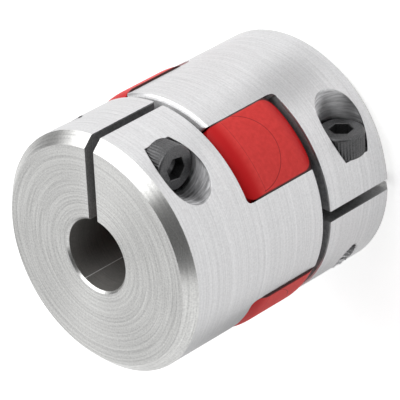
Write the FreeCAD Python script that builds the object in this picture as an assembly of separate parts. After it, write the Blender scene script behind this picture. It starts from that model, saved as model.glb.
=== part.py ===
import FreeCAD, Part
import math
import os

Vector = FreeCAD.Vector

# A zero-backlash jaw coupling. Two equal clamping hubs face each other, each with two jaws,
# and an elastomer spider with four arms sits between the jaws. All lengths are millimetres.
# The axis of rotation is Z, and the coupling stands on the end face of its lower hub.
# The lower hub has its slit on +X and its jaws on +Y and -Y. The upper hub is the same
# turned part, turned over about the diagonal X = Y, so its slit is on +Y.

# Driving dimensions of the coupling
hub_diameter = 30.0
coupling_length = 35.0
end_block_length = 11.4      # end face to the floor between the jaws
jaw_tip_gap = 1.0            # jaw tip to the floor of the other hub
arm_pocket_width = 10.0      # between the jaw flanks on both sides of a spider arm

# Driving dimensions of a hub
bore_diameter = 9.0
bore_chamfer = 0.3
end_chamfer = 1.3
slit_width = 1.4
jaw_nose_cut = 0.5           # depth to which the inner corner of a jaw is bored off
jaw_root_radius = 0.65       # where the flanks of a jaw rise from the floor
jaw_tip_radius = 0.45        # where the flanks of a jaw meet its tip
jaw_tip_chamfer = 0.4        # turned on the outer edge of a jaw's tip

# Driving dimensions of the clamp screw, a socket head screw of 3 mm, and of its seat
screw_inset = 3.25           # outer surface of the hub to axis of the screw
screw_from_end = 5.6         # end face to axis of the screw
thread_diameter = 3.0
thread_clearance = 0.04      # all round, in the tapped hole
screw_length = 12.0
point_chamfer = 0.4
head_diameter = 5.5
head_height = 3.0
head_chamfer = 0.3
socket_across_flats = 2.5
socket_depth = 1.5
socket_cone_angle = 120.0    # drill point at the bottom of the socket
lower_socket_turn = 20.0     # each socket stands as the screw was left when tightened
upper_socket_turn = 40.0
clearance_hole_diameter = 3.4
head_pocket_diameter = 6.0
head_seat_distance = 5.15    # middle of the slit to the seat under the head

# Driving dimensions of the spider
arm_flank_clearance = 0.02   # each flank of an arm to the jaw beside it
arm_floor_clearance = 0.5    # end face of an arm to the hub floor, kept by the spacer pips
arm_bulge = 0.25             # the pressed-in arms stand proud of the hubs
arm_crown_height = 2.45      # the outer face of an arm curves in over this height at both ends
arm_crown_drop = 1.05        # and by this much, towards the axis
arm_corner_radius = 1.5      # from the flanks of an arm to its end faces
arm_edge_radius = 0.35       # from the flanks of an arm to its outer face
web_clearance = 0.1          # all round, web between the arms to the bored faces of the jaws
shaft_end_clearance = 0.3    # all round, shaft end to web
pip_diameter = 2.4
pip_inset = 4.4              # outer surface of the hub to the middle of a pip

# Sizes that follow
hub_radius = hub_diameter / 2
bore_radius = bore_diameter / 2
floor_spacing = coupling_length - 2 * end_block_length
jaw_tip_height = coupling_length - end_block_length - jaw_tip_gap
half_pocket = arm_pocket_width / 2
jaw_inner_radius = half_pocket * math.sqrt(2) + jaw_nose_cut
screw_offset = hub_radius - screw_inset
arm_height = floor_spacing - 2 * arm_floor_clearance
arm_face_height = arm_height - 2 * arm_crown_height
arm_radius = hub_radius + arm_bulge
overrun = 1.0                # cuts and joined bodies run this far past a surface
same_place = 1e-6            # heights nearer than this are one height


def screw_cylinder(radius, start, end):
    """Cylinder on the axis of the lower clamp screw, between two distances along Y."""
    base = Vector(screw_offset, start, screw_from_end)
    return Part.makeCylinder(radius, end - start, base, Vector(0, 1, 0))


def screw_cone(start_radius, end_radius, start, end):
    """Cone on the axis of the lower clamp screw, between two distances along Y."""
    base = Vector(screw_offset, start, screw_from_end)
    return Part.makeCone(start_radius, end_radius, end - start, base, Vector(0, 1, 0))


def middle_radius(edge):
    """Distance from the axis of the coupling to the middle of an edge."""
    middle = edge.valueAt((edge.FirstParameter + edge.LastParameter) / 2)
    return math.hypot(middle.x, middle.y)


def turned_over(shape):
    """Where a piece of the lower hub lies on the upper hub."""
    upper = shape.copy()
    upper.rotate(Vector(0, 0, coupling_length / 2), Vector(1, 1, 0), 180)
    return upper


# Hub

def end_block():
    """Turned disc with its bore, the bore's chamfers and the large chamfer at the end face."""
    corners = [
        Vector(bore_radius + bore_chamfer, 0, 0),
        Vector(hub_radius - end_chamfer, 0, 0),
        Vector(hub_radius, 0, end_chamfer),
        Vector(hub_radius, 0, end_block_length),
        Vector(bore_radius + bore_chamfer, 0, end_block_length),
        Vector(bore_radius, 0, end_block_length - bore_chamfer),
        Vector(bore_radius, 0, bore_chamfer),
    ]
    profile = Part.Face(Part.makePolygon(corners + corners[:1]))
    return profile.revolve(Vector(0, 0, 0), Vector(0, 0, 1), 360)


def flank_edges(shape, height):
    """Straight edges of the jaw flanks that lie at one height."""
    found = []
    for edge in shape.Edges:
        box = edge.BoundBox
        level = abs(box.ZMin - height) < same_place and abs(box.ZMax - height) < same_place
        if level and edge.Curve.TypeId == "Part::GeomLine":
            found.append(edge)
    return found


def jaw():
    """Jaw on +Y between two flanks that are parallel to the arms, with the hub's own arc outside."""
    base = end_block_length - overrun
    flank_end = math.radians(45) + math.asin(half_pocket / hub_radius)
    outer_x = hub_radius * math.cos(flank_end)
    outer_y = hub_radius * math.sin(flank_end)
    inner = Vector(0, half_pocket * math.sqrt(2), base)
    outer_right = Vector(outer_x, outer_y, base)
    outer_left = Vector(-outer_x, outer_y, base)
    outline = Part.Wire([
        Part.LineSegment(inner, outer_right).toShape(),
        Part.Arc(outer_right, Vector(0, hub_radius, base), outer_left).toShape(),
        Part.LineSegment(outer_left, inner).toShape(),
    ])
    block = Part.Face(outline).extrude(Vector(0, 0, jaw_tip_height - base))
    return block.makeFillet(jaw_tip_radius, flank_edges(block, jaw_tip_height))


def tip_edge_ring():
    """What the lathe takes off the outer edge of the jaw tips."""
    start = Vector(0, 0, jaw_tip_height - jaw_tip_chamfer)
    ring_height = jaw_tip_chamfer + overrun
    around = Part.makeCylinder(hub_radius + overrun, ring_height, start)
    kept = Part.makeCone(hub_radius, hub_radius - ring_height, ring_height, start)
    return around.cut(kept)


def lower_hub():
    """Hub with two jaws, its slit on +X, and the seat and the tapped hole of its clamp screw."""
    jaws = [jaw(), jaw()]
    jaws[1].rotate(Vector(0, 0, 0), Vector(0, 0, 1), 180)
    hub = end_block().fuse(jaws).removeSplitter()
    hub = hub.makeFillet(jaw_root_radius, flank_edges(hub, end_block_length))
    slit = Part.makeBox(
        hub_radius + overrun, slit_width, end_block_length + 2 * overrun,
        Vector(0, -slit_width / 2, -overrun))
    inner_bore = Part.makeCylinder(
        jaw_inner_radius, floor_spacing, Vector(0, 0, end_block_length))
    tapped_hole = screw_cylinder(thread_diameter / 2 + thread_clearance, -hub_radius, 0)
    clearance_hole = screw_cylinder(clearance_hole_diameter / 2, 0, head_seat_distance + overrun)
    head_pocket = screw_cylinder(head_pocket_diameter / 2, head_seat_distance, hub_radius)
    return hub.cut([
        tip_edge_ring(), slit, inner_bore, tapped_hole, clearance_hole, head_pocket])


# Clamp screw

def hex_socket(head_top, turn):
    """Six-sided socket with a drill point, measured down from the top of the head."""
    bottom = head_top - socket_depth
    corner_radius = socket_across_flats / math.sqrt(3)
    corners = []
    for number in range(6):
        angle = math.radians(turn + 60 * number)
        x = screw_offset + corner_radius * math.cos(angle)
        z = screw_from_end + corner_radius * math.sin(angle)
        corners.append(Vector(x, bottom, z))
    hexagon = Part.Face(Part.makePolygon(corners + corners[:1]))
    cone_radius = socket_across_flats / 2
    cone_depth = cone_radius / math.tan(math.radians(socket_cone_angle / 2))
    prism = hexagon.extrude(Vector(0, socket_depth + overrun, 0))
    return prism.fuse(screw_cone(0, cone_radius, bottom - cone_depth, bottom))


def clamp_screw(socket_turn):
    """Screw along Y with its head on the seat in the pocket and its point in the tapped half."""
    head_top = head_seat_distance + head_height
    point = head_seat_distance - screw_length
    shank_radius = thread_diameter / 2
    shank_end = point + point_chamfer
    head = screw_cylinder(head_diameter / 2, head_seat_distance, head_top)
    rim = [edge for edge in head.Edges if abs(edge.BoundBox.YMin - head_top) < same_place]
    head = head.makeChamfer(head_chamfer, rim)
    shank = screw_cylinder(shank_radius, shank_end, head_seat_distance)
    tip = screw_cone(shank_radius - point_chamfer, shank_radius, point, shank_end)
    return head.fuse([shank, tip]).cut(hex_socket(head_top, socket_turn)).removeSplitter()


# Spider

def crowned_body():
    """Solid of revolution with the crowned outer faces and the flat end faces of the arms."""
    half_face = arm_face_height / 2
    half_height = arm_height / 2
    end_radius = arm_radius - arm_crown_drop
    crown_radius = (arm_crown_height ** 2 + arm_crown_drop ** 2) / (2 * arm_crown_drop)
    middle_angle = math.asin(arm_crown_height / crown_radius) / 2
    crown_x = arm_radius - crown_radius * (1 - math.cos(middle_angle))
    crown_z = half_face + crown_radius * math.sin(middle_angle)
    corners = [
        Vector(arm_radius, 0, half_face),
        Vector(end_radius, 0, half_height),
        Vector(0, 0, half_height),
        Vector(0, 0, -half_height),
        Vector(end_radius, 0, -half_height),
        Vector(arm_radius, 0, -half_face),
    ]
    outline = Part.Wire([
        Part.Arc(corners[0], Vector(crown_x, 0, crown_z), corners[1]).toShape(),
        Part.makePolygon(corners[1:5]),
        Part.Arc(corners[4], Vector(crown_x, 0, -crown_z), corners[5]).toShape(),
        Part.makePolygon([corners[5], corners[0]]),
    ])
    body = Part.Face(outline).revolve(Vector(0, 0, 0), Vector(0, 0, 1), 360)
    body.translate(Vector(0, 0, coupling_length / 2))
    return body


def crossed_bars():
    """Four arms as two crossed bars with rounded long edges, joined by a lower round web."""
    width = arm_pocket_width - 2 * arm_flank_clearance
    reach = arm_radius + overrun
    bottom = end_block_length + arm_floor_clearance
    bars = []
    for turn in (45, 135):
        bar = Part.makeBox(2 * reach, width, arm_height, Vector(-reach, -width / 2, bottom))
        long_edges = [edge for edge in bar.Edges if edge.BoundBox.XLength > reach]
        bar = bar.makeFillet(arm_corner_radius, long_edges)
        bar.rotate(Vector(0, 0, 0), Vector(0, 0, 1), turn)
        bars.append(bar)
    web_height = arm_height - 2 * arm_corner_radius
    web = Part.makeCylinder(
        jaw_inner_radius - web_clearance, web_height, Vector(0, 0, bottom + arm_corner_radius))
    return bars[0].fuse([bars[1], web]).removeSplitter()


def spacer_pips():
    """Small round pips on both end faces of each arm, which keep it off the hub floors."""
    radius = hub_radius - pip_inset
    pips = []
    for number in range(4):
        angle = math.radians(45 + 90 * number)
        x = radius * math.cos(angle)
        y = radius * math.sin(angle)
        pip = Part.makeCylinder(pip_diameter / 2, floor_spacing, Vector(x, y, end_block_length))
        pips.append(pip)
    return pips


def spider():
    """Arms with rounded edges and crowned outer faces, their pips and the hole for the shafts."""
    round_body = Part.makeCylinder(arm_radius, coupling_length)
    arms = crossed_bars().common(round_body)
    face_edges = []
    for edge in arms.Edges:
        if edge.BoundBox.ZLength > arm_face_height / 2 and middle_radius(edge) > hub_radius:
            face_edges.append(edge)
    arms = arms.makeFillet(arm_edge_radius, face_edges).common(crowned_body())
    shaft_hole = Part.makeCylinder(bore_radius + shaft_end_clearance, coupling_length)
    return arms.fuse(spacer_pips()).cut(shaft_hole)


hub = lower_hub()
pieces = {
    "lower_hub": hub,
    "upper_hub": turned_over(hub),
    "spider": spider(),
    "lower_clamp_screw": clamp_screw(lower_socket_turn),
    "upper_clamp_screw": turned_over(clamp_screw(upper_socket_turn)),
}

os.makedirs("parts", exist_ok=True)
for name, piece in pieces.items():
    piece.exportStep(os.path.join("parts", name + ".step"))
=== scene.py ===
import math

import bmesh
import bpy
from mathutils import Matrix, Vector


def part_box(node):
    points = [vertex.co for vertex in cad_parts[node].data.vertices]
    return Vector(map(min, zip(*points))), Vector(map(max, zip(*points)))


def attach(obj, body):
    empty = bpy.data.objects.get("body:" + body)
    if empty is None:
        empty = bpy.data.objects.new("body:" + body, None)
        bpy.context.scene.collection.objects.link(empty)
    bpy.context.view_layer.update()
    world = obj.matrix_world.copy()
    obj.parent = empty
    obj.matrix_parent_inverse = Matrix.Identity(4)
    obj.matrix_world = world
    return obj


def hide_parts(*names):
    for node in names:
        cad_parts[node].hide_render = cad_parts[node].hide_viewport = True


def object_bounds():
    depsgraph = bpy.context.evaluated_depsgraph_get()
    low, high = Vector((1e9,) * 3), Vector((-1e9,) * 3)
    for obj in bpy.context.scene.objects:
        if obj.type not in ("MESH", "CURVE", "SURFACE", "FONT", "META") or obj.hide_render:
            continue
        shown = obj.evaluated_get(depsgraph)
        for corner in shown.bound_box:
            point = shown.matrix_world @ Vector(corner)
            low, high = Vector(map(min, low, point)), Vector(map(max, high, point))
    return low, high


MM = 0.001

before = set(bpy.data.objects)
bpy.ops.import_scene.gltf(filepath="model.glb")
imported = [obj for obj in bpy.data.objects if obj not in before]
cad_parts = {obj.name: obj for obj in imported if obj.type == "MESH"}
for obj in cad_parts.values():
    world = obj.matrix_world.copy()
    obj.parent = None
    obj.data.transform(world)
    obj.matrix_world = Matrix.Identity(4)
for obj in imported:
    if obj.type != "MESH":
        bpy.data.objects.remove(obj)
cad_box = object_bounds()

# Sizes of the coupling, read from the frame or repeated from its drawing

HUB_RADIUS = (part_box("upper_hub")[1].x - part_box("upper_hub")[0].x) / 2
COUPLING_LENGTH = cad_box[1][2] - cad_box[0][2]
MIDDLE = COUPLING_LENGTH / 2
SCREW_FROM_END = 5.6 * MM
SCREW_INSET = 3.25 * MM
SCREW_OFFSET = HUB_RADIUS - SCREW_INSET
SCREW_HEAD_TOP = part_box("lower_clamp_screw")[1].y
SCREW_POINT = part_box("lower_clamp_screw")[0].y
BORE_RADIUS = 4.5 * MM
END_CHAMFER = 1.3 * MM
SLIT_HALF_WIDTH = 0.7 * MM
FLOOR_FROM_MIDDLE = 6.1 * MM
JAW_FLANK = 5.0 * MM
JAW_ROOT_RADIUS = 0.65 * MM
ARM_HALF_WIDTH = 4.98 * MM
ARM_HALF_LENGTH = 5.6 * MM


# Helpers

def linear(hex_colour):
    """A colour written as sRGB hex, as the shaders want it. The numbers are the sRGB curve's."""
    values = []
    for start in (1, 3, 5):
        share = int(hex_colour[start:start + 2], 16) / 255
        values.append(share / 12.92 if share <= 0.04045 else ((share + 0.055) / 1.055) ** 2.4)
    return (*values, 1.0)


def add(tree, kind, settings=None, **inputs):
    """Adds one shader node. An input is a value or another node's output socket."""
    node = tree.nodes.new(kind)
    for name, value in (settings or {}).items():
        setattr(node, name, value)
    for name, value in inputs.items():
        key = int(name[1:]) if name[1:].isdigit() else name.replace("_", " ")
        socket = node.inputs[key]
        if isinstance(value, bpy.types.NodeSocket):
            tree.links.new(value, socket)
        else:
            socket.default_value = value
    return node


def material(name):
    """A new empty material with its output node."""
    made = bpy.data.materials.new(name)
    made.use_nodes = True
    made.node_tree.nodes.clear()
    return made, made.node_tree, made.node_tree.nodes.new("ShaderNodeOutputMaterial")


def direction(azimuth, elevation):
    """The unit vector towards an azimuth and an elevation in degrees."""
    turn, climb = math.radians(azimuth), math.radians(elevation)
    return Vector((
        math.cos(climb) * math.cos(turn), math.cos(climb) * math.sin(turn), math.sin(climb)))


# Camera, at the photograph's viewing angle: degrees and millimetres

CAMERA_AZIMUTH = 38.64
CAMERA_ELEVATION = 38.39
CAMERA_ROLL = 119.18
CAMERA_DISTANCE = 394.6 * MM
CAMERA_TARGET = Vector((0.15, -0.18, 17.76)) * MM
FOCAL_LENGTH = 302.74
SENSOR_WIDTH = 36.0


def make_camera():
    lens = bpy.data.cameras.new("camera")
    lens.lens = FOCAL_LENGTH
    lens.sensor_width = SENSOR_WIDTH
    lens.sensor_fit = "HORIZONTAL"
    camera = bpy.data.objects.new("camera", lens)
    bpy.context.scene.collection.objects.link(camera)
    towards = direction(CAMERA_AZIMUTH, CAMERA_ELEVATION)
    upright = towards.to_track_quat("Z", "Y").to_matrix().to_4x4()
    rolled = upright @ Matrix.Rotation(-math.radians(CAMERA_ROLL), 4, "Z")
    camera.matrix_world = Matrix.Translation(CAMERA_TARGET + towards * CAMERA_DISTANCE) @ rolled
    bpy.context.scene.camera = camera


# Studio

# Cards that the metal mirrors: azimuth, elevation, half angle and soft edge in degrees, tone
CARDS = [
    (18, 51, 26, 8, "#0c0c0c"),
    (176, 5, 12, 8, "#484848"),
    (222, 34, 12, 34, "#ededed"),
]
TENT_WHITE = "#ffffff"
TENT_LIGHT = 0.67
TENT_IN_METAL = 0.9


def make_world():
    """A white tent that lights the coupling evenly, with a few darker cards for the metal."""
    world = bpy.data.worlds.new("tent")
    world.use_nodes = True
    tree = world.node_tree
    tree.nodes.clear()
    out = tree.nodes.new("ShaderNodeOutputWorld")
    where = add(tree, "ShaderNodeTexCoord").outputs["Generated"]
    tone = add(tree, "ShaderNodeRGB").outputs[0]
    tone.default_value = linear(TENT_WHITE)
    for azimuth, elevation, half, edge, shade in CARDS:
        facing = add(tree, "ShaderNodeVectorMath", {"operation": "DOT_PRODUCT"}, _0=where,
                     _1=direction(azimuth, elevation))
        card = add(tree, "ShaderNodeMapRange", {"interpolation_type": "SMOOTHSTEP"},
                   Value=facing.outputs["Value"], From_Min=math.cos(math.radians(half + edge)),
                   From_Max=math.cos(math.radians(half)))
        tone = add(tree, "ShaderNodeMix", {"data_type": "RGBA", "blend_type": "MULTIPLY"},
                   _0=card.outputs[0], _6=tone, _7=linear(shade)).outputs[2]
    path = add(tree, "ShaderNodeLightPath")
    mirrored = add(tree, "ShaderNodeMath", {"operation": "MAXIMUM"},
                   _0=path.outputs["Is Glossy Ray"], _1=path.outputs["Is Transmission Ray"])
    lighting = add(tree, "ShaderNodeBackground", Color=tone, Strength=TENT_LIGHT)
    shown = add(tree, "ShaderNodeBackground", Color=tone, Strength=TENT_IN_METAL)
    white = add(tree, "ShaderNodeBackground", Color=linear(TENT_WHITE), Strength=1.0)
    in_metal = add(tree, "ShaderNodeMixShader", _0=mirrored.outputs[0], _1=lighting.outputs[0],
                   _2=shown.outputs[0])
    behind = add(tree, "ShaderNodeMixShader", _0=path.outputs["Is Camera Ray"],
                 _1=in_metal.outputs[0], _2=white.outputs[0])
    tree.links.new(behind.outputs[0], out.inputs["Surface"])
    bpy.context.scene.world = world


def make_lamp(name, azimuth, elevation, distance, size, watts):
    """A square softbox that faces the middle of the coupling."""
    lamp = bpy.data.lights.new(name, "AREA")
    lamp.shape = "SQUARE"
    lamp.size = size
    lamp.energy = watts
    holder = bpy.data.objects.new(name, lamp)
    bpy.context.scene.collection.objects.link(holder)
    towards = direction(azimuth, elevation)
    turned = towards.to_track_quat("Z", "Y").to_matrix().to_4x4()
    holder.matrix_world = Matrix.Translation(Vector((0, 0, MIDDLE)) + towards * distance) @ turned


PAPER_HALF_SIDE = 1.5
PAPER_TONE = "#ececec"
PAPER_GLOW = 0.7
PAPER_GLOW_IN_METAL = 0.41
# Soft grey patches of the paper that only the metal mirrors: place and radius in mm, tone
GREY_PATCHES = [
    (6, 27, 13, "#c0c0c0"),
    (-2, -40, 30, "#8c8c8c"),
]
PATCH_CORE = 0.2


def make_floor():
    """Pale paper under the coupling. It shows the lens and the metal nearly white, and keeps the
    soft shadow."""
    mesh = bpy.data.meshes.new("floor")
    half = PAPER_HALF_SIDE
    corners = [(-half, -half, 0), (half, -half, 0), (half, half, 0), (-half, half, 0)]
    mesh.from_pydata(corners, [], [(0, 1, 2, 3)])
    floor = bpy.data.objects.new("floor", mesh)
    bpy.context.scene.collection.objects.link(floor)
    paper, tree, out = material("white_paper")
    path = add(tree, "ShaderNodeLightPath")
    mirrored = add(tree, "ShaderNodeMath", {"operation": "MAXIMUM"},
                   _0=path.outputs["Is Glossy Ray"], _1=path.outputs["Is Transmission Ray"])
    in_metal = add(tree, "ShaderNodeMath", {"operation": "MULTIPLY"}, _0=mirrored.outputs[0],
                   _1=PAPER_GLOW_IN_METAL)
    place = add(tree, "ShaderNodeTexCoord").outputs["Object"]
    tone = add(tree, "ShaderNodeRGB").outputs[0]
    tone.default_value = linear(PAPER_TONE)
    for x, y, reach, shade in GREY_PATCHES:
        away = add(tree, "ShaderNodeVectorMath", {"operation": "DISTANCE"}, _0=place,
                   _1=(x * MM, y * MM, 0))
        near = add(tree, "ShaderNodeMapRange", {"interpolation_type": "SMOOTHSTEP"},
                   Value=away.outputs["Value"], From_Min=reach * MM,
                   From_Max=PATCH_CORE * reach * MM)
        seen = add(tree, "ShaderNodeMath", {"operation": "MULTIPLY"}, _0=near.outputs[0],
                   _1=mirrored.outputs[0])
        tone = add(tree, "ShaderNodeMix", {"data_type": "RGBA", "blend_type": "MULTIPLY"},
                   _0=seen.outputs[0], _6=tone, _7=linear(shade)).outputs[2]
    in_lens = add(tree, "ShaderNodeMath", {"operation": "MULTIPLY_ADD"},
                  _0=path.outputs["Is Camera Ray"], _1=PAPER_GLOW, _2=in_metal.outputs[0])
    matt = add(tree, "ShaderNodeBsdfDiffuse", Color=tone)
    glow = add(tree, "ShaderNodeEmission", Color=tone, Strength=in_lens.outputs[0])
    both = add(tree, "ShaderNodeAddShader", _0=matt.outputs[0], _1=glow.outputs[0])
    tree.links.new(both.outputs[0], out.inputs["Surface"])
    mesh.materials.append(paper)


# Materials

# A noise hardly leaves this range, so ramps and roughness run over it
NOISE_LOW = 0.3
NOISE_HIGH = 0.7
# Width over which one finish gives way to the next
SEAM = 0.05 * MM


def places(tree):
    """Where a point lies: its object coordinates, their parts, its distance from the axis, its angle
    round the axis, and how far sideways it is from the middle line of the nearest arm."""
    place = add(tree, "ShaderNodeTexCoord").outputs["Object"]
    parts = add(tree, "ShaderNodeSeparateXYZ", _0=place)
    flat = add(tree, "ShaderNodeCombineXYZ", X=parts.outputs["X"], Y=parts.outputs["Y"])
    radius = add(tree, "ShaderNodeVectorMath", {"operation": "LENGTH"}, _0=flat.outputs[0])
    angle = add(tree, "ShaderNodeMath", {"operation": "ARCTAN2"}, _0=parts.outputs["Y"],
                _1=parts.outputs["X"])
    quarter = add(tree, "ShaderNodeMath", {"operation": "FLOORED_MODULO"}, _0=angle.outputs[0],
                  _1=math.pi / 2)
    quarter = add(tree, "ShaderNodeMath", {"operation": "SUBTRACT"}, _0=quarter.outputs[0],
                  _1=math.pi / 4)
    sine = add(tree, "ShaderNodeMath", {"operation": "SINE"}, _0=quarter.outputs[0])
    across = add(tree, "ShaderNodeMath", {"operation": "MULTIPLY"}, _0=sine.outputs[0],
                 _1=radius.outputs["Value"])
    return place, parts, radius.outputs["Value"], angle.outputs[0], across.outputs[0]


# Turning grooves and drill rings on the real part are some 0.05 mm apart, and saw marks 0.1 mm:
# too fine to show, so all are drawn coarser
GROOVE_SPACING = 0.2 * MM
GROOVE_WANDER = 0.03
GRAIN_SIZE = 0.22 * MM
GRAIN_SHARE = 0.45
SAW_MARK_SIZE = 0.5 * MM
DRILL_RING_SPACING = 0.4 * MM
ALONG_DRILL_RING = 0.12
TOOL_MARK_DEPTH = 0.006 * MM
TOOL_MARK_STRENGTH = 0.3

TURNED_SKIN = 0.2 * MM
BORE_SKIN = 0.02 * MM
# painted light: over these heights the lower hub's slit walls are painted lighter towards the slit's
# open end
SLIT_PAINTED_LIGHT_START = 7 * MM
SLIT_PAINTED_LIGHT_END = 1 * MM
# A thin pale line along the bore wall at this angle round the axis
BORE_LINE_ANGLE = math.radians(-120)
BORE_LINE_HALF_WIDTH = math.radians(0.55)
BORE_LINE_TONE = "#d0d0ce"
# painted shade: the jaw flanks beside the arms are painted nearly black, for the shade in the gap
# between jaw and arm
FLANK_SHADE_HALF_WIDTH = 0.04 * MM
FLANK_SHADE_TONE = "#241c1c"

TURNED_ROUGHNESS = (0.36, 0.29)
CUT_ROUGHNESS = (0.65, 0.45)
OILED_METALLIC = 0.5
EDGE_BREAK = 0.12 * MM
# Highlights stretch across the grooves: a quarter turn from the way the tangent runs
GROOVE_STRETCH = 0.8
STRETCH_TURN = 0.25


def turned_aluminium():
    """Bright aluminium. Turned faces have fine rings round the axis that draw highlights out across
    them, and they show most on the end faces. Milled jaws are duller, and their flanks beside the
    arms are painted nearly black as painted shade. The saw-cut slit walls and the pocket floors are
    mottled and painted darker as painted shade, and the lower hub's slit turns lighter towards its
    open end as painted light. Drilled walls have rings round the drill's axis, and the lower hub's
    are painted lighter as painted light. The bore has a darker tone and a thin pale line along it."""
    made, tree, out = material("turned_aluminium")
    place, parts, radius, angle, across = places(tree)
    rings = add(tree, "ShaderNodeCombineXYZ", X=radius, Y=parts.outputs["Z"])
    around = add(tree, "ShaderNodeVectorMath", {"operation": "SCALE"}, _0=place,
                 Scale=GROOVE_WANDER)
    spread = add(tree, "ShaderNodeVectorMath", {"operation": "ADD"}, _0=rings.outputs[0],
                 _1=around.outputs[0])
    fine = add(tree, "ShaderNodeTexNoise", Vector=spread.outputs[0], Scale=1 / GROOVE_SPACING,
               Detail=2.0, Roughness=0.6)
    grain = add(tree, "ShaderNodeTexNoise", Vector=place, Scale=1 / GRAIN_SIZE, Detail=2.0)
    marks = add(tree, "ShaderNodeMix", {"data_type": "FLOAT"}, Factor=GRAIN_SHARE,
                _2=fine.outputs["Fac"], _3=grain.outputs["Fac"])
    mottle = add(tree, "ShaderNodeTexNoise", Vector=place, Scale=1 / SAW_MARK_SIZE, Detail=4.0,
                 Roughness=0.7)
    in_lower_hub = add(tree, "ShaderNodeMath", {"operation": "LESS_THAN"}, _0=parts.outputs["Z"],
                       _1=MIDDLE)
    drill_axis = add(tree, "ShaderNodeMix", {"data_type": "VECTOR"}, _0=in_lower_hub.outputs[0],
                     _4=(1.0, ALONG_DRILL_RING, ALONG_DRILL_RING),
                     _5=(ALONG_DRILL_RING, 1.0, ALONG_DRILL_RING))
    along_drill = add(tree, "ShaderNodeVectorMath", {"operation": "MULTIPLY"}, _0=place,
                      _1=drill_axis.outputs[1])
    drill_rings = add(tree, "ShaderNodeTexNoise", Vector=along_drill.outputs[0],
                      Scale=1 / DRILL_RING_SPACING, Detail=3.0, Roughness=0.6)

    # Each finish: its dark and its light tone, and the pattern that runs between them
    finishes = {
        "drilled": ("#6a6a6c", "#f0f0f2", drill_rings.outputs["Fac"]),
        # painted light: the lower hub's drilled walls are painted lighter, for the light that falls
        # on its pocket walls
        "painted_light_drilled": ("#acacae", "#fdfdfe", drill_rings.outputs["Fac"]),
        # painted shade: the saw-cut slit walls and the pocket floors have a mottled tone painted
        # darker for the shade in these recesses
        "sawn_painted_shade": ("#747476", "#a0a0a2", mottle.outputs["Fac"]),
        "milled": ("#d4d4d5", "#ececed", grain.outputs["Fac"]),
        "turned": ("#cacacb", "#e6e6e7", marks.outputs[0]),
        "faced": ("#bcbcbb", "#f4f4f2", marks.outputs[0]),
        "bored": ("#6a6866", "#7e7c78", marks.outputs[0]),
    }
    tones = {}
    for name, (dark_tone, light_tone, pattern) in finishes.items():
        ramp = add(tree, "ShaderNodeValToRGB", _0=pattern)
        first, last = ramp.color_ramp.elements
        first.position = NOISE_LOW
        first.color = linear(dark_tone)
        last.position = NOISE_HIGH
        last.color = linear(light_tone)
        tones[name] = ramp.outputs["Color"]

    # Where each finish lies, from 0 to 1
    from_middle = add(tree, "ShaderNodeMath", {"operation": "SUBTRACT"}, _0=parts.outputs["Z"],
                      _1=MIDDLE)
    from_middle = add(tree, "ShaderNodeMath", {"operation": "ABSOLUTE"}, _0=from_middle.outputs[0])
    inside = add(tree, "ShaderNodeMapRange", Value=radius, From_Min=BORE_RADIUS + 2 * BORE_SKIN,
                 From_Max=BORE_RADIUS + BORE_SKIN)
    outside = add(tree, "ShaderNodeMapRange", Value=radius,
                  From_Min=HUB_RADIUS - TURNED_SKIN - SEAM, From_Max=HUB_RADIUS - TURNED_SKIN)
    at_end = add(tree, "ShaderNodeMapRange", Value=from_middle.outputs[0],
                 From_Min=MIDDLE - END_CHAMFER - SEAM, From_Max=MIDDLE - END_CHAMFER)
    turned = add(tree, "ShaderNodeMath", {"operation": "MAXIMUM"}, _0=outside.outputs[0],
                 _1=at_end.outputs[0])
    on_jaws = add(tree, "ShaderNodeMapRange", Value=from_middle.outputs[0],
                  From_Min=FLOOR_FROM_MIDDLE - SEAM, From_Max=FLOOR_FROM_MIDDLE - 2 * SEAM)
    on_floor = add(tree, "ShaderNodeMath", {"operation": "LESS_THAN"}, _0=from_middle.outputs[0],
                   _1=FLOOR_FROM_MIDDLE + SEAM)
    from_slit = [add(tree, "ShaderNodeMath", {"operation": "ABSOLUTE"},
                     _0=parts.outputs[axis]).outputs[0] for axis in "XY"]
    from_slit = add(tree, "ShaderNodeMath", {"operation": "MINIMUM"}, _0=from_slit[0],
                    _1=from_slit[1])
    in_slit = add(tree, "ShaderNodeMath", {"operation": "LESS_THAN"}, _0=from_slit.outputs[0],
                  _1=SLIT_HALF_WIDTH + SEAM)
    # painted shade: mask of the slit walls and pocket floors, which are painted darker
    recesses_painted_shade = add(tree, "ShaderNodeMath", {"operation": "MAXIMUM"}, _0=in_slit.outputs[0],
               _1=on_floor.outputs[0])
    # painted light: the lower hub's slit walls turn to the lighter milled tone towards its open end
    slit_painted_light = add(tree, "ShaderNodeMapRange", Value=parts.outputs["Z"],
                   From_Min=SLIT_PAINTED_LIGHT_START, From_Max=SLIT_PAINTED_LIGHT_END)
    # a thin pale line along the bore wall
    bore_line = add(tree, "ShaderNodeMath", {"operation": "COMPARE"}, _0=angle, _1=BORE_LINE_ANGLE,
                  _2=BORE_LINE_HALF_WIDTH)
    bore_line = add(tree, "ShaderNodeMath", {"operation": "MULTIPLY"}, _0=bore_line.outputs[0],
                  _1=inside.outputs[0])
    # painted shade along the jaw flanks, in the gap beside each arm
    sideways = add(tree, "ShaderNodeMath", {"operation": "ABSOLUTE"}, _0=across)
    flank_painted_shade = add(tree, "ShaderNodeMath", {"operation": "COMPARE"}, _0=sideways.outputs[0],
                 _1=JAW_FLANK, _2=FLANK_SHADE_HALF_WIDTH)
    beside_arm = add(tree, "ShaderNodeMath", {"operation": "LESS_THAN"},
                     _0=from_middle.outputs[0],
                     _1=FLOOR_FROM_MIDDLE - JAW_ROOT_RADIUS - 2 * SEAM)
    flank_painted_shade = add(tree, "ShaderNodeMath", {"operation": "MULTIPLY"}, _0=flank_painted_shade.outputs[0],
                 _1=beside_arm.outputs[0])

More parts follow.
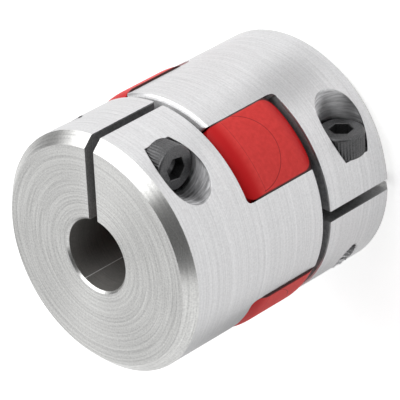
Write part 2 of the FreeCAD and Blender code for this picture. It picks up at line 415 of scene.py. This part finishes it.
    # The finishes over each other, each where it lies
    # painted shade of the slit walls and floors, turning lighter towards the lower hub's slit end as
    # painted light
    sawn_painted_shade = add(tree, "ShaderNodeMix", {"data_type": "RGBA"}, _0=slit_painted_light.outputs[0],
               _6=tones["sawn_painted_shade"], _7=tones["milled"])
    # painted light: in the lower hub the drilled walls take the lighter painted tone
    drilled = add(tree, "ShaderNodeMix", {"data_type": "RGBA"}, _0=in_lower_hub.outputs[0],
                  _6=tones["drilled"], _7=tones["painted_light_drilled"])
    colour = drilled.outputs[2]
    for where, tone in (
            (recesses_painted_shade, sawn_painted_shade.outputs[2]), (on_jaws, tones["milled"]), (turned, tones["turned"]),
            (at_end, tones["faced"]), (inside, tones["bored"]), (bore_line, linear(BORE_LINE_TONE)),
            (flank_painted_shade, linear(FLANK_SHADE_TONE))):
        colour = add(tree, "ShaderNodeMix", {"data_type": "RGBA"}, _0=where.outputs[0], _6=colour,
                     _7=tone).outputs[2]

    bright = add(tree, "ShaderNodeMapRange", Value=marks.outputs[0], From_Min=NOISE_LOW,
                 From_Max=NOISE_HIGH, To_Min=TURNED_ROUGHNESS[0], To_Max=TURNED_ROUGHNESS[1])
    dull = add(tree, "ShaderNodeMapRange", Value=mottle.outputs["Fac"], From_Min=NOISE_LOW,
               From_Max=NOISE_HIGH, To_Min=CUT_ROUGHNESS[0], To_Max=CUT_ROUGHNESS[1])
    smooth = add(tree, "ShaderNodeMath", {"operation": "SUBTRACT", "use_clamp": True},
                 _0=turned.outputs[0], _1=inside.outputs[0])
    roughness = add(tree, "ShaderNodeMix", {"data_type": "FLOAT"}, _0=smooth.outputs[0],
                    _2=dull.outputs[0], _3=bright.outputs[0])
    height = add(tree, "ShaderNodeMix", {"data_type": "FLOAT"}, _0=turned.outputs[0],
                 _2=mottle.outputs["Fac"], _3=marks.outputs[0])
    oiled = add(tree, "ShaderNodeMath", {"operation": "MAXIMUM"}, _0=recesses_painted_shade.outputs[0],
                _1=on_jaws.outputs[0])
    oiled = add(tree, "ShaderNodeMath", {"operation": "SUBTRACT", "use_clamp": True},
                _0=oiled.outputs[0], _1=turned.outputs[0])
    oiled = add(tree, "ShaderNodeMath", {"operation": "MAXIMUM"}, _0=oiled.outputs[0],
                _1=inside.outputs[0])
    metallic = add(tree, "ShaderNodeMapRange", Value=oiled.outputs[0], To_Min=1.0,
                   To_Max=OILED_METALLIC)
    soft_edge = add(tree, "ShaderNodeBevel", {"samples": 4}, Radius=EDGE_BREAK)
    bump = add(tree, "ShaderNodeBump", Strength=TOOL_MARK_STRENGTH, Distance=TOOL_MARK_DEPTH,
               Height=height.outputs[0], Normal=soft_edge.outputs[0])
    tangent = add(tree, "ShaderNodeTangent", {"direction_type": "RADIAL", "axis": "Z"})
    metal = add(tree, "ShaderNodeBsdfPrincipled", Base_Color=colour, Metallic=metallic.outputs[0],
                Roughness=roughness.outputs[0], Anisotropic=GROOVE_STRETCH,
                Anisotropic_Rotation=STRETCH_TURN, Normal=bump.outputs[0],
                Tangent=tangent.outputs[0])
    tree.links.new(metal.outputs[0], out.inputs["Surface"])
    return made


# Cast polyurethane. The skin's real grain is about 0.1 mm, drawn coarser so that it shows
SKIN_GRAIN = 0.5 * MM
SKIN_GRAIN_DEPTH = 0.01 * MM
SKIN_BUMP = 0.2
POLYURETHANE = ("#de3431", "#ea3e3b")
# painted shade: the crown towards each hub is painted this darker red, where it mirrors the dark hub
# and takes no sheen
CROWN_SHADE_RED = "#cc020a"
LINE_RED = "#960c12"
# painted shade: a thin strip along the jaws and round the arm's corners is painted nearly black
EDGE_SHADE_RED = "#3a0608"
POLYURETHANE_ROUGHNESS = 0.5
POLYURETHANE_IOR = 1.5
POLYURETHANE_GLOSS = 0.3
EJECTOR_CENTRE = (0.3 * MM, 20.8 * MM, 0)
EJECTOR_RADIUS = 4.9 * MM
EJECTOR_HALF_LINE = 0.05 * MM
EJECTOR_SHOWS = 0.7
CROWN_LINE_Z = 20.65 * MM
CROWN_HALF_LINE = 0.04 * MM
CROWN_LINE_SHOWS = 0.4
CROWN_START = 3.2 * MM
CROWN_END = 4.6 * MM
ARM_CORNER = 2.3 * MM
EDGE_INNER = 0.22 * MM
EDGE_OUTER = 0.08 * MM


def cast_polyurethane():
    """Red cast polyurethane: an even satin skin that takes a soft sheen. Towards each hub the crown
    is painted a darker red, painted shade where nothing bright is mirrored. Each arm has the arc
    that the mould's ejector left on its outer face, a faint line where the crown starts, and painted
    shade as nearly black edges along the jaws and round its corners."""
    made, tree, out = material("cast_polyurethane")
    place, parts, radius, angle, across = places(tree)
    on_face = add(tree, "ShaderNodeCombineXYZ", X=across, Y=parts.outputs["Z"])
    from_ejector = add(tree, "ShaderNodeVectorMath", {"operation": "DISTANCE"},
                       _0=on_face.outputs[0], _1=EJECTOR_CENTRE)
    arc = add(tree, "ShaderNodeMath", {"operation": "COMPARE"}, _0=from_ejector.outputs["Value"],
              _1=EJECTOR_RADIUS, _2=EJECTOR_HALF_LINE)
    below = add(tree, "ShaderNodeMath", {"operation": "LESS_THAN"}, _0=parts.outputs["Z"],
                _1=EJECTOR_CENTRE[1])
    arc = add(tree, "ShaderNodeMath", {"operation": "MULTIPLY"}, _0=arc.outputs[0],
              _1=below.outputs[0])
    faint = add(tree, "ShaderNodeMath", {"operation": "MULTIPLY"}, _0=arc.outputs[0],
                _1=EJECTOR_SHOWS)
    crown = add(tree, "ShaderNodeMath", {"operation": "COMPARE"}, _0=parts.outputs["Z"],
                _1=CROWN_LINE_Z, _2=CROWN_HALF_LINE)
    lines = add(tree, "ShaderNodeMath", {"operation": "MULTIPLY_ADD"}, _0=crown.outputs[0],
                _1=CROWN_LINE_SHOWS, _2=faint.outputs[0])
    flank = add(tree, "ShaderNodeMath", {"operation": "ABSOLUTE"}, _0=across)
    downwards = add(tree, "ShaderNodeMath", {"operation": "SUBTRACT"}, _0=MIDDLE,
                    _1=parts.outputs["Z"])
    from_middle = add(tree, "ShaderNodeMath", {"operation": "ABSOLUTE"}, _0=downwards.outputs[0])
    # painted shade: the strip along the jaws and the arm's rounded corners is painted nearly black
    sideways = add(tree, "ShaderNodeMath", {"operation": "SUBTRACT", "use_clamp": True},
                   _0=flank.outputs[0], _1=ARM_HALF_WIDTH - ARM_CORNER)
    lengthwise = add(tree, "ShaderNodeMath", {"operation": "SUBTRACT", "use_clamp": True},
                     _0=downwards.outputs[0], _1=ARM_HALF_LENGTH - ARM_CORNER)
    corner = add(tree, "ShaderNodeCombineXYZ", X=sideways.outputs[0], Y=lengthwise.outputs[0])
    corner = add(tree, "ShaderNodeVectorMath", {"operation": "LENGTH"}, _0=corner.outputs[0])
    edge = add(tree, "ShaderNodeMapRange", Value=corner.outputs["Value"],
               From_Min=ARM_CORNER - EDGE_INNER, From_Max=ARM_CORNER - EDGE_OUTER)
    # painted shade: the crown is painted a darker red towards each hub
    crown_painted_shade = add(tree, "ShaderNodeMapRange", {"interpolation_type": "SMOOTHSTEP"},
               Value=from_middle.outputs[0], From_Min=CROWN_START, From_Max=CROWN_END)
    skin = add(tree, "ShaderNodeTexNoise", Vector=place, Scale=1 / SKIN_GRAIN, Detail=3.0)
    ramp = add(tree, "ShaderNodeValToRGB", _0=skin.outputs["Fac"])
    first, last = ramp.color_ramp.elements
    first.position = NOISE_LOW
    first.color = linear(POLYURETHANE[0])
    last.position = NOISE_HIGH
    last.color = linear(POLYURETHANE[1])
    colour = ramp.outputs["Color"]
    for where, tone in ((crown_painted_shade, CROWN_SHADE_RED), (lines, LINE_RED), (edge, EDGE_SHADE_RED)):
        colour = add(tree, "ShaderNodeMix", {"data_type": "RGBA"}, _0=where.outputs[0], _6=colour,
                     _7=linear(tone)).outputs[2]
    relief = add(tree, "ShaderNodeMath", {"operation": "SUBTRACT"}, _0=skin.outputs["Fac"],
                 _1=lines.outputs[0])
    bump = add(tree, "ShaderNodeBump", Strength=SKIN_BUMP, Distance=SKIN_GRAIN_DEPTH,
               Height=relief.outputs[0])
    body = add(tree, "ShaderNodeBsdfPrincipled", Base_Color=colour,
               Roughness=POLYURETHANE_ROUGHNESS, IOR=POLYURETHANE_IOR,
               Specular_IOR_Level=POLYURETHANE_GLOSS, Normal=bump.outputs[0])
    tree.links.new(body.outputs[0], out.inputs["Surface"])
    return made


# Blackened steel. The oxide's real grain is some 0.02 mm, drawn coarser so that it shows
OXIDE_GRAIN = 0.15 * MM
OXIDE = ("#4c4c4d", "#686869")
OXIDE_METALLIC = 0.85
OXIDE_ROUGHNESS = 0.4


def blackened_steel():
    """Steel with a black oxide skin: nearly black, with a soft grey sheen and a fine grain."""
    made, tree, out = material("blackened_steel")
    place = add(tree, "ShaderNodeTexCoord").outputs["Object"]
    grain = add(tree, "ShaderNodeTexNoise", Vector=place, Scale=1 / OXIDE_GRAIN, Detail=3.0)
    ramp = add(tree, "ShaderNodeValToRGB", _0=grain.outputs["Fac"])
    first, last = ramp.color_ramp.elements
    first.position = NOISE_LOW
    first.color = linear(OXIDE[0])
    last.position = NOISE_HIGH
    last.color = linear(OXIDE[1])
    metal = add(tree, "ShaderNodeBsdfPrincipled", Base_Color=ramp.outputs["Color"],
                Metallic=OXIDE_METALLIC, Roughness=OXIDE_ROUGHNESS)
    tree.links.new(metal.outputs[0], out.inputs["Surface"])
    return made


# Clamp screws

HEAD_RADIUS = 2.75 * MM
HEAD_HEIGHT = 3.0 * MM
HEAD_FOOT_BREAK = 0.15 * MM
HEAD_FOOT_HEIGHT = 0.12 * MM
THREAD_RADIUS = 1.5 * MM
THREAD_PITCH = 0.5 * MM
THREAD_DEPTH = 0.3 * MM
THREAD_ROOT = 0.22
THREAD_FLANK = 0.66
PLAIN_NECK = 0.8 * MM
POINT_CHAMFER = 0.4 * MM
SHANK_AROUND = 48
SHANK_STEPS_A_TURN = 8
KNURL_RIBS = 44
KNURL_DEPTH = 0.08 * MM
KNURL_CUTS = (0.0, 0.5, 1.0, 0.5)
KNURL_RUN_IN = 0.04 * MM
KNURL_RUN_OUT = 0.05 * MM
SOCKET_APOTHEM = 1.25 * MM
SOCKET_DEPTH = 1.5 * MM
SOCKET_EDGE = 0.08 * MM
SOCKET_STEP = 0.01 * MM
DRILL_POINT = math.radians(60)
DRILL_TIP = 0.05 * MM
TOP_ROUND = 0.4 * MM
TOP_ROUND_STEPS = 4
SHARP_ANGLE = math.radians(35)
SEAT = SCREW_HEAD_TOP - HEAD_HEIGHT


def on_screw(radius, angle, along):
    """A point round the axis of the lower clamp screw."""
    return Vector((
        SCREW_OFFSET + radius * math.cos(angle), along, SCREW_FROM_END + radius * math.sin(angle)))


def shell(vertices, faces, rings, around):
    """Adds one closed skin made of rings, each a list of points, and a point at each end."""
    first = len(vertices)
    for ring in rings:
        vertices.extend(ring)
    for row in range(len(rings) - 1):
        for column in range(around):
            following = (column + 1) % around
            lower, upper = first + row * around, first + (row + 1) * around
            faces.append((lower + column, lower + following, upper + following, upper + column))
    for row, turned in ((0, True), (len(rings) - 1, False)):
        middle = len(vertices)
        vertices.append(sum(rings[row], Vector()) / around)
        for column in range(around):
            following = (column + 1) % around
            corners = [first + row * around + column, first + row * around + following, middle]
            faces.append(tuple(reversed(corners)) if turned else tuple(corners))


def thread_height(angle, along):
    """Share of the thread's depth, 0 at the root and 1 at the crest of a right-hand thread."""
    turn = (along / THREAD_PITCH + angle / math.tau) % 1
    return min(1.0, max(0.0, (1 - abs(2 * turn - 1) - THREAD_ROOT) / THREAD_FLANK))


def shank_rings():
    steps = round((SEAT - SCREW_POINT) / THREAD_PITCH * SHANK_STEPS_A_TURN)
    rings = []
    for step in range(steps + 1):
        along = SCREW_POINT + (SEAT - SCREW_POINT) * step / steps
        widest = THREAD_RADIUS - POINT_CHAMFER + (along - SCREW_POINT)
        ring = []
        for column in range(SHANK_AROUND):
            angle = math.tau * column / SHANK_AROUND
            cut = THREAD_DEPTH * (1 - thread_height(angle, along))
            if along > SEAT - PLAIN_NECK:
                cut = 0
            ring.append(on_screw(min(THREAD_RADIUS - cut, widest), angle, along))
        rings.append(ring)
    return rings, SHANK_AROUND


def head_rings(socket_turn):
    around = KNURL_RIBS * len(KNURL_CUTS)
    angles = [math.tau * column / around for column in range(around)]
    knurl = [KNURL_DEPTH * KNURL_CUTS[column % len(KNURL_CUTS)] for column in range(around)]

    def round_ring(radius, along, depth=0.0):
        return [on_screw(radius - depth * cut, angle, along) for angle, cut in zip(angles, knurl)]

    def hexagon_ring(apothem, along):
        ring = []
        for angle in angles:
            off = (angle - math.radians(socket_turn)) % (math.pi / 3) - math.pi / 6
            ring.append(on_screw(apothem / math.cos(off), angle, along))
        return ring

    top = SCREW_HEAD_TOP
    rings = [
        round_ring(HEAD_RADIUS - HEAD_FOOT_BREAK, SEAT),
        round_ring(HEAD_RADIUS, SEAT + HEAD_FOOT_HEIGHT),
        round_ring(HEAD_RADIUS, SEAT + HEAD_FOOT_HEIGHT + KNURL_RUN_IN, 1.0),
        round_ring(HEAD_RADIUS, top - TOP_ROUND - KNURL_RUN_OUT, 1.0),
    ]
    for step in range(TOP_ROUND_STEPS + 1):
        bend = math.pi / 2 * step / TOP_ROUND_STEPS
        rings.append(round_ring(
            HEAD_RADIUS - TOP_ROUND * (1 - math.cos(bend)), top - TOP_ROUND * (1 - math.sin(bend))))
    cone = SOCKET_APOTHEM / math.tan(DRILL_POINT)
    bottom = top - SOCKET_DEPTH
    rings += [
        hexagon_ring(SOCKET_APOTHEM + SOCKET_EDGE, top),
        hexagon_ring(SOCKET_APOTHEM, top - SOCKET_EDGE),
        hexagon_ring(SOCKET_APOTHEM, bottom),
        round_ring(SOCKET_APOTHEM, bottom - SOCKET_STEP),
        round_ring(DRILL_TIP, bottom - cone),
    ]
    return rings, around


def finish_piece(name, vertices, faces, made):
    mesh = bpy.data.meshes.new(name)
    mesh.from_pydata(vertices, [], faces)
    mesh.validate()
    piece = bpy.data.objects.new(name, mesh)
    bpy.context.scene.collection.objects.link(piece)
    mesh.materials.append(made)
    solid = bmesh.new()
    solid.from_mesh(mesh)
    bmesh.ops.recalc_face_normals(solid, faces=solid.faces)
    solid.to_mesh(mesh)
    solid.free()
    mesh.shade_smooth()
    mesh.set_sharp_from_angle(angle=SHARP_ANGLE)
    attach(piece, "root")
    return piece


def turned_over(points):
    """Where points of the lower hub lie on the upper hub."""
    return [Vector((point.y, point.x, COUPLING_LENGTH - point.z)) for point in points]


def clamp_screw(hub, socket_turn, made):
    """Socket head screw with a knurled head, a six-sided socket and a rolled thread."""
    vertices, faces = [], []
    shell(vertices, faces, *shank_rings())
    shell(vertices, faces, *head_rings(socket_turn))
    if hub == "upper":
        vertices = turned_over(vertices)
    screw = finish_piece(hub + "_socket_head_screw", vertices, faces, made)
    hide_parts(hub + "_clamp_screw")


TAPPED_RADIUS = 1.54 * MM
TAPPED_DEPTH = 0.27 * MM
TAPPED_LIFT = 0.005 * MM
TAPPED_BACKING = 0.06 * MM
TAPPED_GAP = 0.15 * MM
TAPPED_MOUTH = 0.02 * MM
TAPPED_AROUND = 64
TAPPED_STEPS = 56


def tapped_thread(hub, made):
    """The thread that shows in the open end of the tapped hole, beyond the screw's point."""
    around = TAPPED_AROUND
    start = SCREW_POINT - TAPPED_GAP
    ridged, backing = [], []
    for step in range(TAPPED_STEPS + 1):
        inner, outer = [], []
        for column in range(around):
            angle = math.tau * column / around
            for ring, shift in ((inner, TAPPED_LIFT), (outer, -TAPPED_BACKING)):
                radius = TAPPED_RADIUS - shift
                reach = SCREW_OFFSET + radius * math.cos(angle)
                mouth = -math.sqrt(HUB_RADIUS ** 2 - reach ** 2) + TAPPED_MOUTH
                along = start + (min(mouth, start) - start) * step / TAPPED_STEPS
                if ring is inner:
                    radius -= TAPPED_DEPTH * (1 - thread_height(angle, along))
                ring.append(on_screw(radius, angle, along))
        ridged.append(inner)
        backing.append(outer)
    rings = ridged + backing[::-1]
    vertices = [point for ring in rings for point in ring]
    count = len(rings)
    faces = []
    for row in range(count):
        lower, upper = row * around, (row + 1) % count * around
        for column in range(around):
            following = (column + 1) % around
            faces.append((lower + column, lower + following, upper + following, upper + column))
    if hub == "upper":
        vertices = turned_over(vertices)
    finish_piece(hub + "_tapped_thread", vertices, faces, made)


def dress(names, made):
    for name in names:
        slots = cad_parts[name].data.materials
        slots.clear()
        slots.append(made)


# Degrees by which each screw's socket is turned
SOCKET_TURNS = {"lower": 20, "upper": 40}

make_camera()
make_world()
make_floor()
make_lamp("key_softbox", azimuth=122, elevation=45, distance=0.45, size=0.5, watts=1.4)

aluminium = turned_aluminium()
steel = blackened_steel()
dress(["lower_hub", "upper_hub"], aluminium)
dress(["spider"], cast_polyurethane())
dress(["lower_clamp_screw", "upper_clamp_screw"], steel)
for hub, socket_turn in SOCKET_TURNS.items():
    clamp_screw(hub, socket_turn, steel)
    tapped_thread(hub, aluminium)

bpy.context.scene.view_settings.view_transform = "Standard"
